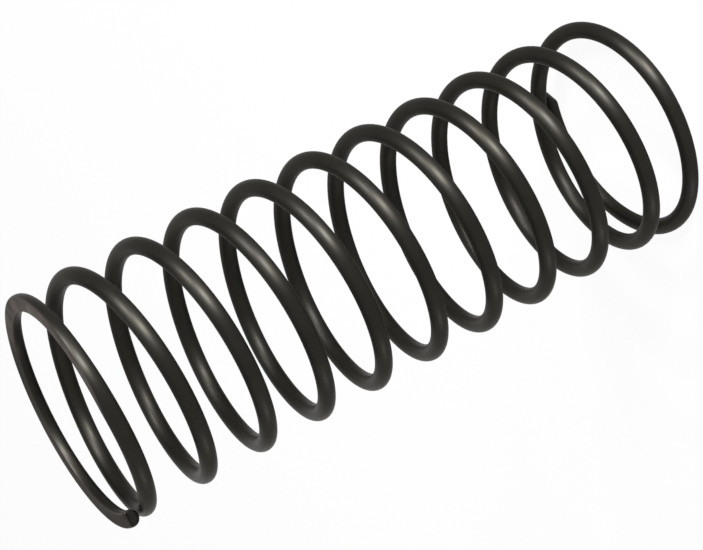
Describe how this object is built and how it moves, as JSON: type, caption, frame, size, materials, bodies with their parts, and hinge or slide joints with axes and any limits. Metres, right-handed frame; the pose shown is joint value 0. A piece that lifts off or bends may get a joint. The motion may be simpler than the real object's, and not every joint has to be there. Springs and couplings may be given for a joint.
{
  "type": "compression spring",
  "caption": "Small cylindrical compression spring of blackened round wire, right-hand wound, with closed and ground ends.",
  "frame": {"origin": "on the axis of the coils, in the plane of the lower ground face", "axes": "+Z along the axis of the coils, from the lower ground face to the upper one; +X towards the wire's lower tip"},
  "size_m": [0.0145, 0.0141, 0.0384],
  "materials": {
    "blackened_spring_steel": "cold-drawn spring wire, blackened and oiled, with a dull satin sheen; ground end faces are a slightly lighter grey"
  },
  "bodies": {
    "root": {"spring": "blackened_spring_steel"}
  },
  "joints": []
}
